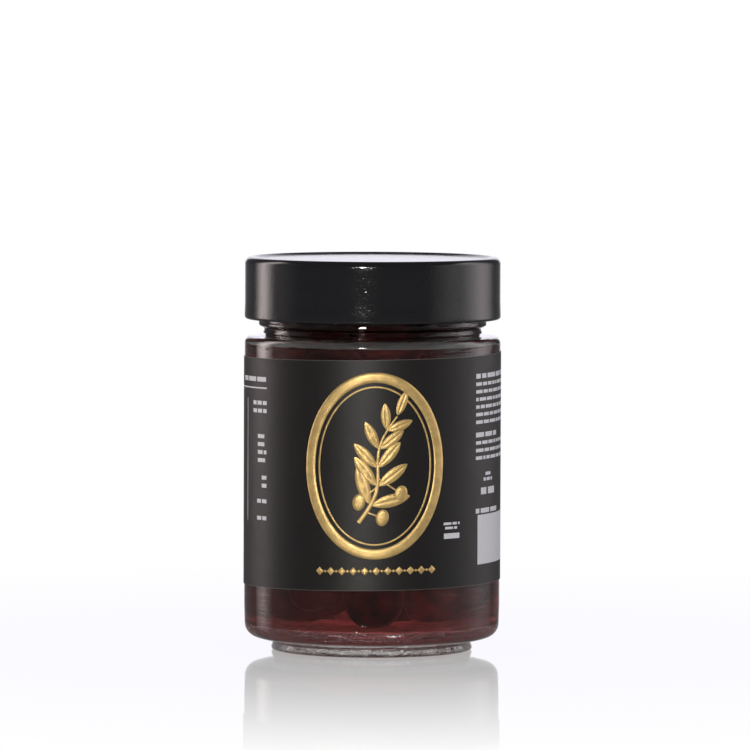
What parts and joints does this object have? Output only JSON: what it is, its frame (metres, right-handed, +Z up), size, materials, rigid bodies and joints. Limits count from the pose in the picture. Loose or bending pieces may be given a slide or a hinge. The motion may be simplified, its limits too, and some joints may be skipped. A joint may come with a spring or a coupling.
{
  "type": "jar of olives",
  "caption": "Squat clear glass jar of whole dark olives in brine, shut by a deep black twist-off lid, with a dark wrap-round paper label.",
  "frame": {"origin": "middle of the foot ring, on the surface that the jar stands on", "axes": "+Z up along the jar's axis; -Y towards whoever reads the label; +X to that reader's right"},
  "size_m": [0.0714, 0.0712, 0.1092],
  "materials": {
    "glass": "clear flint container glass, moulded, glossy",
    "lid_lacquer": "satin black lacquer baked on tinplate",
    "label_paper": "charcoal uncoated paper with a fine grain, gold foil and pale print",
    "olive_skin": "wet, very dark purple-brown olive skin",
    "gold_foil": "hot-stamped embossed gold foil",
    "label_ink": "pale matte print",
    "brine": "clear dark red-brown brine"
  },
  "bodies": {
    "root": {"jar": "glass", "lid": "lid_lacquer", "label": "label_paper", "olives": "olive_skin"}
  },
  "joints": []
}
